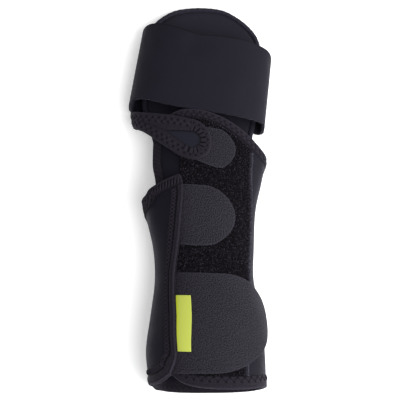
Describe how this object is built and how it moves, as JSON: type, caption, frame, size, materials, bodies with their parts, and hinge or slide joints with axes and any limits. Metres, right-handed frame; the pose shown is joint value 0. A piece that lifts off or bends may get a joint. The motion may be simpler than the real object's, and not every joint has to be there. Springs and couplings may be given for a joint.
{
  "type": "wrist, hand and finger splint",
  "caption": "Padded neoprene splint for the right wrist, hand and fingers, with a finger paddle and band, a thumb strap, a loop panel and hook tabs that close it.",
  "frame": {"origin": "on the surface that the splint lies on, under the middle of its outline seen from above", "axes": "+Y from the forearm to the fingertips, +X to the little-finger side, +Z out of the back of the hand"},
  "size_m": [0.1168, 0.3179, 0.0644],
  "materials": {
    "neoprene": "smooth black knit on foam rubber, soft sheen",
    "paddle_cover": "smooth black knit over a padded plate",
    "edge_tape": "matt black stretch tape with black stitching",
    "band_knit": "smooth black stretch knit",
    "loop_pile": "black looped pile",
    "hook_tab": "charcoal cloth with a fine slanting grain",
    "label": "lime woven tag, bare"
  },
  "bodies": {
    "root": {"body_wrap": "neoprene", "forearm_flap": "neoprene", "thumb_strap": "neoprene", "finger_paddle": "paddle_cover", "paddle_binding": "edge_tape", "finger_band": "band_knit", "loop_panel": "loop_pile", "forearm_tab": "hook_tab", "wrist_tab": "hook_tab", "thumb_tab": "hook_tab", "side_label": "label"}
  },
  "joints": []
}
